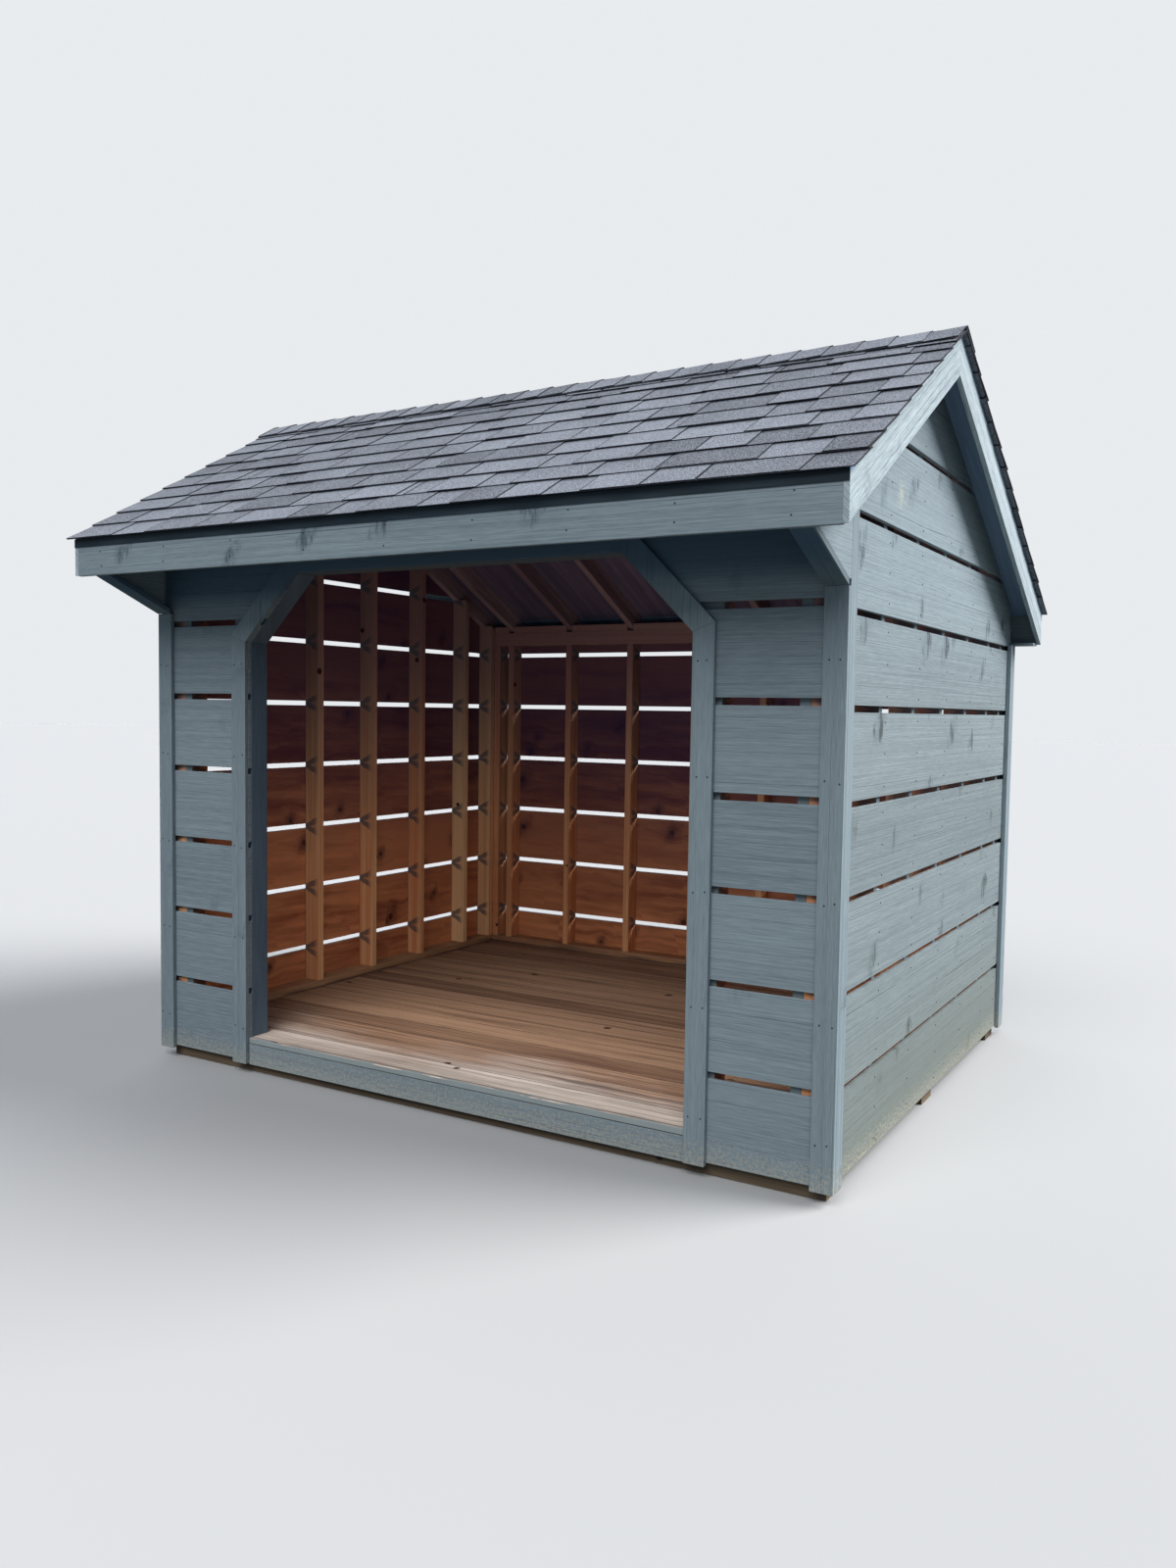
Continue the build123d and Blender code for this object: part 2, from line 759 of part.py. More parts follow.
# Ridge cap folded over both slopes
cap_bed = sheathing_thickness + shingle_thickness
with BuildPart() as ridge_cap:
    with BuildSketch(Plane.YZ.offset(-roof_face_x)):
        with BuildLine():
            Polyline(
                (ridge_y, front_line(ridge_y, -cap_bed)),
                (ridge_y - cap_width * cos(front_tilt), front_line(ridge_y - cap_width * cos(front_tilt), -cap_bed)),
                (ridge_y - cap_width * cos(front_tilt),
                 front_line(ridge_y - cap_width * cos(front_tilt), -cap_bed - cap_thickness)),
                (ridge_y, front_line(ridge_y, -cap_bed - cap_thickness)),
                (ridge_y + cap_width * cos(back_tilt),
                 back_line(ridge_y + cap_width * cos(back_tilt), -cap_bed - cap_thickness)),
                (ridge_y + cap_width * cos(back_tilt), back_line(ridge_y + cap_width * cos(back_tilt), -cap_bed)),
                close=True,
            )
        make_face()
    extrude(amount=2 * roof_face_x)
ridge_cap.part.label = "ridge_cap"
export_step(ridge_cap.part, "parts/ridge_cap.step")

# Drip edges hang over the tops of the fascias
with BuildPart() as drip_edges:
    with BuildSketch(Plane.YZ.offset(-rake_face_x)):
        with BuildLine():
            Polyline(
                (fascia_front_face, front_eave_z - drip_leg),
                (fascia_front_face, front_line(fascia_front_face, -sheathing_thickness)),
                (fascia_front_face - drip_thickness,
                 front_line(fascia_front_face - drip_thickness, -sheathing_thickness)),
                (fascia_front_face - drip_thickness, front_eave_z - drip_leg),
                close=True,
            )
        make_face()
        with BuildLine():
            Polyline(
                (fascia_back_face, back_eave_z - drip_leg),
                (fascia_back_face, back_line(fascia_back_face, -sheathing_thickness)),
                (fascia_back_face + drip_thickness,
                 back_line(fascia_back_face + drip_thickness, -sheathing_thickness)),
                (fascia_back_face + drip_thickness, back_eave_z - drip_leg),
                close=True,
            )
        make_face()
    extrude(amount=2 * rake_face_x)
drip_edges.part.label = "drip_edges"
export_step(drip_edges.part, "parts/drip_edges.step")
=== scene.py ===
"""Log store: an open-fronted firewood shed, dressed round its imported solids.

The file follows the shed as it is put together, from the skids to the ridge.
Lengths are in metres, in the frame of the solids: X along the front, +Y to the
back, Z up from the ground.
"""
import math
import random

import bpy
from mathutils import Matrix, Vector


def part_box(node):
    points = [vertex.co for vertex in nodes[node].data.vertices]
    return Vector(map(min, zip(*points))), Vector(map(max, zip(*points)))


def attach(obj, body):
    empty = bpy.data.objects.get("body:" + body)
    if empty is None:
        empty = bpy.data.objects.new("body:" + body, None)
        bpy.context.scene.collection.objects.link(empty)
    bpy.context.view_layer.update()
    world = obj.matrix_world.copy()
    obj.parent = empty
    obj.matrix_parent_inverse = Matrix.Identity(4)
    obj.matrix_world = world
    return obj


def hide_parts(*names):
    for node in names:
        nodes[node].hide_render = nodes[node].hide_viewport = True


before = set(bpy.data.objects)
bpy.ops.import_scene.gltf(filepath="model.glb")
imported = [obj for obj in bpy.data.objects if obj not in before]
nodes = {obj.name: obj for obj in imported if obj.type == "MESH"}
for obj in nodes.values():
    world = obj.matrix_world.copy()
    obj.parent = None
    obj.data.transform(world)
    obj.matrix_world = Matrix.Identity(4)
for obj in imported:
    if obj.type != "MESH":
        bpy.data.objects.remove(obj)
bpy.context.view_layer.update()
bpy.ops.object.select_all(action="DESELECT")

# Skids and floor frame
# Sawn softwood, treated and gone grey-brown, seen only from below and in the gap
# under the boards. The joists stand on three flat skids.


def colour(red, green, blue):
    """A colour in 0 to 255 as it shows on a screen, made ready for a shader."""
    return tuple((part / 255) ** 2.2 for part in (red, green, blue)) + (1.0,)


class Shade:
    """A socket of a material. Sums written with it become Math nodes."""

    def __init__(self, tree, socket):
        self.tree = tree
        self.socket = socket

    def node(self, kind, settings, inputs, output=0):
        """A new node of this material, and the socket it gives out."""
        made = self.tree.nodes.new("ShaderNode" + kind)
        for name, value in settings.items():
            setattr(made, name, value)
        for name, value in inputs.items():
            if isinstance(value, Shade):
                self.tree.links.new(value.socket, made.inputs[name])
            else:
                made.inputs[name].default_value = value
        return Shade(self.tree, made.outputs[output])

    def part(self, output):
        """Another socket of the same node."""
        return Shade(self.tree, self.socket.node.outputs[output])

    def sum(self, operation, *values):
        return self.node("Math", {"operation": operation}, dict(enumerate(values)))

    def __add__(self, other):
        return self.sum("ADD", self, other)

    __radd__ = __add__

    def __sub__(self, other):
        return self.sum("SUBTRACT", self, other)

    def __rsub__(self, other):
        return self.sum("SUBTRACT", other, self)

    def __mul__(self, other):
        return self.sum("MULTIPLY", self, other)

    def __abs__(self):
        return self.sum("ABSOLUTE", self)

    def most(self, other):
        return self.sum("MAXIMUM", self, other)

    def least(self, other):
        return self.sum("MINIMUM", self, other)

    def span(self, other):
        """The length of an offset that has these two parts."""
        return self.sum("SQRT", self * self + other * other)

    def wraps(self, length):
        """The distance since the last whole multiple of a length."""
        return self.sum("WRAP", self, length, 0.0)

    def rises(self, low, high):
        """0 below low, 1 above high, and a soft step between them."""
        return self.node(
            "MapRange",
            {"interpolation_type": "SMOOTHSTEP"},
            {"Value": self, "From Min": low, "From Max": high},
        )

    def blend(self, low, high):
        """A colour between two, as this value goes from 0 to 1."""
        return self.node("Mix", {"data_type": "RGBA"}, {0: self, 6: low, 7: high}, 2)

    def tint(self, tone):
        """This colour multiplied by another one."""
        settings = {"data_type": "RGBA", "blend_type": "MULTIPLY"}
        return self.node("Mix", settings, {0: 1.0, 6: self, 7: tone}, 2)


def new_material(name, corner=None, cell=None):
    """A material, with its place on the shed and a number for each of its pieces.

    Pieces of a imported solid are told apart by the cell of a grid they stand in.
    """
    material = bpy.data.materials.new(name)
    material.use_nodes = True
    tree = material.node_tree
    place = Shade(tree, tree.nodes.new("ShaderNodeTexCoord").outputs["Object"])
    if corner is None:
        return material, place, place.node("NewGeometry", {}, {}).part("Random Per Island")
    offset = place.node("VectorMath", {"operation": "SUBTRACT"}, {0: place, 1: corner})
    share = place.node("VectorMath", {"operation": "DIVIDE"}, {0: offset, 1: cell})
    whole = place.node("VectorMath", {"operation": "FLOOR"}, {0: share})
    return material, place, whole.node("TexWhiteNoise", {}, {"Vector": whole})


def finish_material(material, tone, roughness, height, depth):
    """Joins the colour, roughness and relief to the material's shader."""
    shader = material.node_tree.nodes["Principled BSDF"]
    links = material.node_tree.links
    bump = tone.node("Bump", {}, {"Strength": 1.0, "Distance": depth, "Height": height})
    links.new(tone.socket, shader.inputs["Base Color"])
    links.new(roughness.socket, shader.inputs["Roughness"])
    links.new(bump.socket, shader.inputs["Normal"])
    shader.inputs["Specular IOR Level"].default_value = 0.35
    return material


def axes(place):
    """The three parts of a place: along the front, to the back and up."""
    x = place.node("SeparateXYZ", {}, {0: place})
    return x, x.part(1), x.part(2)


def grain_axes(place, run, tilt=0.0):
    """Distances along, across and through the grain, for boards that run a given way."""
    x, y, z = axes(place)
    if run == "front":
        return x, z, y
    if run == "side":
        return y, z, x
    if run == "post":
        return z, x + y, x - y
    if run == "floor":
        return x, y, z
    along = y * math.cos(tilt) + z * math.sin(tilt)
    return along, z * math.cos(tilt) - y * math.sin(tilt) + x, x


def streaks(along, across, seed, stretch, fineness, detail=3.0):
    """Noise drawn out along the grain, around 0.5."""
    spot = along.node("CombineXYZ", {}, {0: along * stretch, 1: across * fineness, 2: seed})
    inputs = {"Vector": spot, "Scale": 1.0, "Detail": detail, "Roughness": 0.6}
    return spot.node("TexNoise", {}, inputs)


KNOT_ROW = 0.3


def knots(along, across, seed, spacing, chance):
    """Knots strewn on a board: offsets from the nearest, its size, and if it is there."""
    step_along = along * (1 / spacing) + seed * 31.0
    step_across = across * (1 / KNOT_ROW) + seed * 17.0
    spot = along.node("CombineXYZ", {}, {0: step_along, 1: step_across})
    cell = spot.node("TexVoronoi", {"voronoi_dimensions": "2D"}, {"Vector": spot, "Scale": 1.0})
    apart = spot.node("VectorMath", {"operation": "SUBTRACT"}, {0: spot, 1: cell.part("Position")})
    reach, rise, _ = axes(apart)
    draw, size, _ = axes(cell.part("Color"))
    there = draw.rises(1 - chance, 1 - chance + 0.02)
    return reach * spacing, rise * KNOT_ROW, size, there


def timber(name, run, light, dark, corner, cell):
    """Bare softwood: streaked grain, knots, and a shade for each piece."""
    material, place, piece = new_material(name, corner, cell)
    along, across, _ = grain_axes(place, run)
    seed = piece * 40.0
    broad = streaks(along, across, seed, 0.9, 22.0, 4.0)
    fine = streaks(along, across, seed, 6.0, 260.0)
    reach, rise, size, there = knots(along, across, piece, 0.5, 0.5)
    knot = (0.008 + size * 0.012 - reach.span(rise)).rises(-0.004, 0.004) * there
    mix = broad.rises(0.3, 0.7) * 0.7 + fine * 0.3 + (piece - 0.5) * 0.35
    tone = mix.least(1.0).most(0.0).blend(dark, light)
    tone = knot.blend(tone, tuple(0.35 * part for part in dark[:3]) + (1.0,))
    roughness = 0.72 + fine * 0.18
    height = broad * 0.4 + fine * 0.6 - knot * 0.4
    return finish_material(material, tone, roughness, height, 0.0012)


def dress(names, material, softness=0.0005):
    """Gives solids their material, and eases their sharp edges a little."""
    for name in names:
        solid = nodes[name]
        solid.data.materials.clear()
        solid.data.materials.append(material)
        weld = solid.modifiers.new("weld", "WELD")
        weld.merge_threshold = 0.00005
        ease = solid.modifiers.new("eased_edges", "BEVEL")
        ease.width = softness
        ease.segments = 2
        ease.limit_method = "ANGLE"
        ease.angle_limit = math.radians(40)
        ease.face_strength_mode = "FSTR_ALL"
        flat = solid.modifiers.new("flat_faces", "WEIGHTED_NORMAL")
        flat.use_face_influence = True


JOIST_PITCH = 0.301
treated_light = colour(122, 104, 84)
treated_dark = colour(74, 62, 50)
skid_wood = timber(
    "treated_timber", "front", treated_light, treated_dark, (-2, -1.5, 0), (4, 0.9, 0.04)
)
joist_wood = timber(
    "joist_wood", "side", treated_light, treated_dark, (-1.655, -2, -1), (JOIST_PITCH, 4, 2)
)
dress(("skid_front", "skid_middle", "skid_back", "rim_joists"), skid_wood, 0.002)
dress(("floor_joists",), joist_wood)

# Floor boards
# Softwood boards laid along the shed, trodden bare and brown inside, bleached and
# greyer towards the open front, with the last of the paint on the nosing.

EASE = 0.0022
FLOOR_PITCH = 0.14359
HALF_GAP = 0.0015
NOSING_DEPTH = 0.0205
NOSING_START = 1.06
OLD_PAINT_START = 1.094
frame_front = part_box("rim_joists")[0].y
floor_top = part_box("floor_boards")[1].z


def floor_material():
    """Trodden softwood: brown inside, bleached in front, old paint on the nosing."""
    corner = (-2, frame_front - HALF_GAP, 0)
    material, place, piece = new_material("floor_wood", corner, (4, FLOOR_PITCH, 1))
    along, across, level = grain_axes(place, "floor")
    seed = piece * 40.0
    bend = (streaks(along, across, seed + 2.0, 2.4, 5.0, 3.0) - 0.5) * 0.05
    broad = streaks(along, across + bend, seed, 0.7, 26.0, 4.0)
    rings = streaks(along, across + bend, seed + 9.0, 1.0, 80.0, 2.0)
    fine = streaks(along, across, seed, 7.0, 420.0)
    clouds = streaks(along, across, 3.0, 1.3, 3.4, 4.0)
    forward = across * -1.0
    front = (forward + (clouds - 0.5) * 0.9).rises(0.62, 1.18)
    brown = (broad * 0.45 + rings * 0.55 + (piece - 0.5) * 0.2).rises(0.30, 0.68)
    inner = brown.blend(colour(108, 77, 59), colour(180, 141, 110))
    outer = brown.blend(colour(166, 148, 134), colour(240, 224, 209))
    tone = front.blend(inner, outer)
    wet = streaks(along, across, 11.0, 0.8, 5.5, 5.0).rises(0.60, 0.72)
    tone = (wet * 0.6).blend(tone, colour(66, 52, 44))
    split = abs(rings - 0.5).rises(0.004, 0.012)
    on_board = (across - frame_front + HALF_GAP).wraps(FLOOR_PITCH)
    off_middle = abs(on_board - FLOOR_PITCH / 2)
    joint = (0.0715 - off_middle + (fine - 0.5) * 0.004).rises(0.002, 0.006)
    shade = (split * 0.4 + 0.6) * (joint * 0.6 + 0.4) * (fine.rises(0.25, 0.5) * 0.3 + 0.7)
    tone = tone.tint(shade.blend(colour(0, 0, 0), colour(255, 255, 255)))
    reach, rise, size, there = knots(along, across, piece, 0.42, 0.25)
    knot = (0.010 + size * 0.012 - reach.span(rise)).rises(-0.006, 0.004) * there
    tone = knot.blend(tone, colour(70, 44, 30))
    wear = streaks(along, across, 5.0, 5.0, 40.0, 4.0)
    nosing = forward.rises(NOSING_START, NOSING_START + 0.01)
    painted = ((forward - OLD_PAINT_START) + (wear - 0.5) * 0.09).rises(0.0, 0.008)
    painted = painted.most((floor_top - 0.003 - level).rises(0.0, 0.001) * nosing)
    old_paint = (wear * 0.8).blend(colour(122, 132, 134), colour(166, 171, 168))
    tone = painted.blend(tone, old_paint)
    # Painted shadow: a dark line along the foot of the nosing, for the shadow gap between nosing
    # and sill.
    under = (floor_top - NOSING_DEPTH - level).rises(0.0, 0.001) * nosing
    tone = (under * 0.8).blend(tone, colour(30, 32, 32))
    roughness = 0.66 + fine * 0.22 - wet * 0.1
    height = broad * 0.3 + rings * 0.2 + fine * 0.4 + split * 0.2 + joint * 0.6 - knot * 0.3
    return finish_material(material, tone, roughness, height, 0.0014)


dress(("floor_boards",), floor_material(), EASE)

# Wall frame
# Planed framing timber under a reddish stain: plates, studs, the header and its
# braces. Paint sprayed on the boards outside came through the gaps between them
# and fanned out over the sides of the studs.

STUD_PITCH = 0.406
FIRST_SIDE_STUD = -0.641
SIDE_PITCH = 0.309
SIDE_GAP = 0.023
FRONT_PITCH = 0.313
FRONT_GAP = 0.025
HALF_FRAME = 1.524
frame_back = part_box("rim_joists")[1].y
board_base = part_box("right_wall_boards")[0].z
paint_mist = colour(62, 70, 80)


def off_gap(level, pitch, gap):
    """How far a height is from the middle of the nearest gap between boards."""
    middle = board_base + pitch - gap / 2
    return abs((level - middle + pitch / 2).wraps(pitch) - pitch / 2)


def frame_material(name, run, wall, corner, cell):
    """Stained framing timber, with the mist of paint on the side towards a wall."""
    material, place, piece = new_material(name, corner, cell)
    along, across, _ = grain_axes(place, run)
    x, y, level = axes(place)
    seed = piece * 40.0
    broad = streaks(along, across, seed, 0.8, 30.0, 4.0)
    rings = streaks(along, across, seed + 5.0, 0.5, 95.0, 1.0)
    fine = streaks(along, across, seed, 6.0, 380.0)
    reach, rise, size, there = knots(along, across, piece, 0.45, 0.4)
    knot = (0.006 + size * 0.009 - reach.span(rise)).rises(-0.004, 0.003) * there
    mix = (broad * 0.5 + rings * 0.3 + fine * 0.2 + (piece - 0.5) * 0.28).rises(0.28, 0.72)
    tone = mix.blend(colour(214, 134, 86), colour(255, 206, 148))
    # Painted shade: the framing is drawn darker and purpler towards the top.
    tone = (level.rises(0.7, 2.05) * 0.82).blend(tone, colour(110, 84, 94))
    tone = knot.blend(tone, colour(58, 28, 18))
    if wall == "header":
        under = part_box("front_header")[0].z + 0.002 - level
        painted = under.rises(0.0, 0.001).most((frame_front + 0.002 - y).rises(0.0, 0.001))
        tone = painted.blend(tone, colour(84, 96, 102))
    elif wall == "":
        dirt = streaks(along, across, 4.0, 3.0, 30.0, 4.0)
        low = (floor_top + 0.060 - level).rises(0.0, 0.004)
        tone = (low * (0.25 + dirt * 0.7)).blend(tone, colour(72, 52, 48))
        swept = (floor_top + 0.012 - level + (dirt - 0.5) * 0.03).rises(-0.006, 0.010)
        tone = (swept * 0.7).blend(tone, colour(52, 44, 44))
    else:
        if wall == "side":
            depth = HALF_FRAME - abs(x)
            gap = off_gap(level, SIDE_PITCH, SIDE_GAP)
        elif wall == "back":
            depth = frame_back - y
            gap = off_gap(level, SIDE_PITCH, SIDE_GAP)
        else:
            depth = y - frame_front
            gap = off_gap(level, FRONT_PITCH, FRONT_GAP)
        cloud = streaks(along, across, 2.0, 30.0, 30.0, 2.0)
        fan = (depth * 0.5 + 0.010 - gap + (cloud - 0.5) * 0.02).rises(-0.003, 0.004)
        hollow = (depth * 0.3 - 0.006 - gap).rises(0.0, 0.006) * 0.7
        mist = fan * (1.0 - hollow) * (0.092 - depth).rises(0.0, 0.04)
        face = (0.004 - depth).rises(0.0, 0.001)
        tone = (mist * 0.75).blend(tone, paint_mist)
        tone = face.blend(tone, colour(106, 118, 122))
    roughness = 0.62 + fine * 0.2
    height = broad * 0.3 + rings * 0.3 + fine * 0.4 - knot * 0.3
    return finish_material(material, tone, roughness, height, 0.0008)


side_cells = ((-2, FIRST_SIDE_STUD - STUD_PITCH / 2, 0), (2, STUD_PITCH, 4))
back_cells = ((HALF_FRAME - STUD_PITCH * 1.5, -2, 0), (STUD_PITCH, 4, 4))
side_stud_wood = frame_material("side_stud_wood", "post", "side", *side_cells)
back_stud_wood = frame_material("back_stud_wood", "post", "back", *back_cells)
front_stud_wood = frame_material("front_stud_wood", "post", "front", (0, -2, 0), (0.4, 4, 4))
header_wood = frame_material("header_wood", "front", "header", (-2, -2, 0), (4, 4, 4))
plate_wood = frame_material("plate_wood", "front", "", (-2, -1, 0), (4, 2, 0.5))
side_plate_wood = frame_material("side_plate_wood", "side", "", (-2, -2, 0), (2, 4, 4))
dress(("left_wall_studs", "right_wall_studs"), side_stud_wood, EASE)
dress(("back_wall_studs",), back_stud_wood, EASE)
dress(("front_wall_studs",), front_stud_wood, EASE)
dress(("front_header",), header_wood, EASE)
dress(("cross_bottom_plates", "back_top_plate", "front_top_plate"), plate_wood, EASE)
dress(("ridge_board", "rafter_blocks"), plate_wood, EASE)
dress(("side_bottom_plates",), side_plate_wood, EASE)

# Rafters and sheathing
# Stained rafters under thin boarding. Inside both are brown. Outside the walls,
# under the overhangs, they carry the same spray as the walls, drawn in a lighter
# blue as painted light from the sky.

FRONT_TILT = math.atan(7 / 12)
BACK_TILT = -math.atan(6 / 12)
BETWEEN_RAFTERS = 0.883


def indoors(place):
    """1 on what faces the inside of the walls, 0 outside them."""
    x, y, _ = axes(place)
    inside = (HALF_FRAME + 0.0016 - abs(x)).rises(0.0, 0.0014)
    inside = inside * (y - frame_front + 0.0016).rises(0.0, 0.0014)
    return inside * (frame_back + 0.0016 - y).rises(0.0, 0.0014)


def roof_wood(name, tilt, light, dark):
    """Stained wood on a slope, painted where it passes outside the walls, in a light blue that
    holds painted sky light.
    """
    material, place, piece = new_material(name, (BETWEEN_RAFTERS, -2, 0), (STUD_PITCH, 4, 4))
    along, across, _ = grain_axes(place, "slope", tilt)
    seed = piece * 40.0
    broad = streaks(along, across, seed, 1.2, 16.0, 4.0)
    fine = streaks(along, across, seed, 6.0, 260.0)
    mix = (broad * 0.75 + fine * 0.25 + (piece - 0.5) * 0.2).rises(0.3, 0.7)
    # Painted light: the spray outside the walls is drawn lighter and bluer, as if lit by the sky.
    spray_with_painted_skylight = mix.blend(colour(112, 136, 166), colour(140, 164, 192))
    tone = indoors(place).blend(spray_with_painted_skylight, mix.blend(dark, light))
    height = broad * 0.5 + fine * 0.5
    return finish_material(material, tone, 0.68 + fine * 0.2, height, 0.001)


rafter_light = colour(168, 138, 136)
rafter_dark = colour(116, 92, 98)
deck_light = colour(116, 98, 114)
deck_dark = colour(86, 74, 92)
for name, tilt in (("front", FRONT_TILT), ("back", BACK_TILT)):
    rafter_wood = roof_wood(name + "_rafter_wood", tilt, rafter_light, rafter_dark)
    deck_wood = roof_wood(name + "_deck", tilt, deck_light, deck_dark)
    dress((name + "_rafters",), rafter_wood, EASE)
    dress((name + "_sheathing",), deck_wood)

# Wall boards
# Wide rough-sawn pine boards, nailed up with a gap between them. The one coat of
# grey-green paint lets the saw's ribs, splits and smeared knots show. Under the
# front overhang the paint is drawn darker and bluer as painted shade. The inside
# is stained red-brown, drawn darker and bluer upwards as painted shade.

PAINTED_SHADE_LOW = 1.95
SPLASH_HIGH = 0.20
paint_light = colour(142, 155, 161)
paint_dark = colour(94, 106, 113)
paint_worn = colour(196, 208, 212)
# A dark blue paint that stands in for the shade under the front overhang.
painted_overhang_shade = colour(46, 76, 102)
mud = colour(176, 168, 148)
fascia_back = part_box("front_fascia")[1].y


def painted_wood(
    name, run, corner, cell, tilt=0.0, ribs=1.0, smears=1.0, worn=0.0,
    painted_light_upwards=0.0, dust_and_low_shade=False, painted_shade_reach=0.012, resin=None,
):
    """Painted rough boards outside, stained pine where they face the inside.

    ribs and smears scale the saw marks and the knots' smears. worn bares the
    ridges. painted_light_upwards lightens the paint upwards as painted light, or
    with a negative value darkens it upwards as painted shade. dust_and_low_shade
    darkens and yellows it towards the ground, as dust and as painted shade.
    painted_shade_reach is how far out of the frame the painted shade under the
    front overhang reaches, and resin is a spot where the wood has bled.
    """
    material, place, piece = new_material(name, corner, cell)
    along, across, _ = grain_axes(place, run, tilt)
    x, y, level = axes(place)
    seed = piece * 40.0
    clouds = streaks(along, across, seed, 1.4, 3.5, 4.0)
    broad = streaks(along, across, seed + 3.0, 0.5, 24.0, 3.0)
    ribbing = streaks(along, across, seed, 0.9, 165.0, 1.0)
    fine = streaks(along, across, seed, 14.0, 420.0, 2.0)
    splits = streaks(along, across, seed + 7.0, 0.05, 15.0, 0.0)
    line = (0.004 - abs(splits - 0.5)).rises(0.0, 0.004) * clouds.rises(0.35, 0.6)
    reach, rise, size, there = knots(along, across, piece, 0.34, 0.55)
    span = reach.span(rise)
    radius = 0.006 + size * 0.008
    knot = (radius - span).rises(-0.005, 0.003) * there
    ring = (0.003 - abs(span - radius - 0.005)).rises(0.0, 0.003) * there
    ragged = streaks(along, across, seed + 2.0, 26.0, 22.0, 4.0)
    hairs = streaks(along, across, seed + 6.0, 38.0, 7.0, 3.0)
    tall = 360.0 - size * 260.0
    slant = (reach - rise * (0.2 + size * 0.4)) * (26.0 - size * 13.0)
    leaf = 1.0 - slant.sum("SQRT", slant * slant + rise * rise * tall) + (ragged - 0.5) * 1.5
    smear = leaf.rises(0.0, 0.6) * there * (hairs.rises(0.42, 0.62) * (0.45 + size * 0.55) + 0.12)

    paint = (clouds - 0.5) * 0.3 + (ribbing - 0.5) * 0.65 * ribs + (fine - 0.5) * 0.9
    paint = paint + (broad - 0.5) * 0.15 + (piece - 0.5) * 0.2 + 0.5
    # Painted light and shade: the paint is drawn lighter upwards, or darker upwards when the value
    # is negative.
    paint = (paint + (level.least(1.9) - 1.5) * painted_light_upwards).rises(-0.1, 1.1)
    outside = paint.blend(paint_dark, paint_light)
    # Painted shade: the paint turns dark blue under the front overhang, between the fascia and the
    # front wall and a little way outside the frame.
    overhang_shade_mask = (level - PAINTED_SHADE_LOW).rises(0.0, 0.12)
    overhang_shade_mask = overhang_shade_mask * (HALF_FRAME + painted_shade_reach - abs(x)).rises(0.0, 0.004)
    overhang_shade_mask = overhang_shade_mask * (y - fascia_back).rises(0.001, 0.005)
    overhang_shade_mask = overhang_shade_mask * (frame_front - y).rises(0.0, 0.01)
    outside = (overhang_shade_mask * 0.76).blend(outside, painted_overhang_shade)
    if worn:
        ridges = (ribbing * 0.4 + fine * 0.6 + (broad - 0.5) * 0.3).rises(0.25, 0.7)
        outside = (ridges * worn).blend(outside, paint_worn)
    dark = (line * 0.5).most(knot * 0.5 * smears)
    dark = dark.most(ring * 0.3 * smears).most(smear * 0.9 * smears)
    outside = dark.blend(outside, colour(58, 70, 78))
    if resin:
        spot = place.node("VectorMath", {"operation": "DISTANCE"}, {0: place, 1: resin}, 1)
        seep = 0.065 - spot + (ragged - 0.5) * 0.16 + (fine - 0.5) * 0.08
        outside = (seep.rises(0.0, 0.07) * 0.4).blend(outside, colour(200, 202, 176))
    speck = streaks(along, across, 1.0, 90.0, 90.0, 4.0)
    splash = (SPLASH_HIGH - level).rises(0.0, 0.17)
    splash = (splash * 0.8 + (speck - 0.5) * 3.4 * splash.rises(0.0, 0.4)).rises(0.2, 1.3)
    if dust_and_low_shade:
        # Dust and painted shade: the paint is darkened and yellowed towards the ground.
        dust = (0.75 - level).rises(0.0, 0.75) * 0.26 + (2.3 - level).rises(0.0, 0.9) * 0.13
        outside = (dust * (0.6 + speck * 0.8)).blend(outside, colour(114, 112, 84))
    outside = (splash * 0.55).blend(outside, mud)

    near = (0.12 - span).rises(0.0, 0.11) * there
    heart = streaks(along, across + reach * 0.06 - rise * near * 0.7, seed + 1.0, 1.1, 17.0, 4.0)
    swirl = reach.sum("SQRT", reach * reach * 0.35 + rise * rise) + (ragged - 0.5) * 0.012
    eddies = swirl.sum("SINE", swirl * 560.0).rises(0.1, 0.9)
    eddies = eddies * near * size.rises(0.35, 0.6)
    stain = (heart * 0.75 + fine * 0.15 + clouds * 0.5 + (piece - 0.5) * 0.3).rises(0.44, 0.94)
    within = stain.blend(colour(134, 68, 46), colour(232, 150, 98))
    eye = (radius * 1.4 - span).rises(-0.004, 0.004) * there
    flame = leaf.rises(-0.2, 0.9) * there * (0.3 + hairs * 0.6)
    flame = flame.most(eye * 0.92).most(eddies * 0.5)
    within = flame.blend(within, colour(60, 26, 18))
    # Painted shade: the inside of the boards is drawn darker and bluer upwards and towards the
    # back.
    within = ((level + y * 0.18).rises(0.4, 1.9) * 0.86).blend(within, colour(60, 42, 74))
    tone = indoors(place).blend(outside, within)
    roughness = 0.70 + fine * 0.16 - (1.0 - paint) * 0.05
    height = ribbing * 0.45 * ribs + fine * 0.3 + clouds * 0.1 - line * 0.7 - knot * 0.2
    return finish_material(material, tone, roughness, height, 0.0018)


MIDDLE_CELL = 1.514
RESIN_SPOT = (1.543, -0.53, 2.34)
first_gap = board_base - 0.012
one_cell = ((-2, -4, 0), (4, 4, 4))
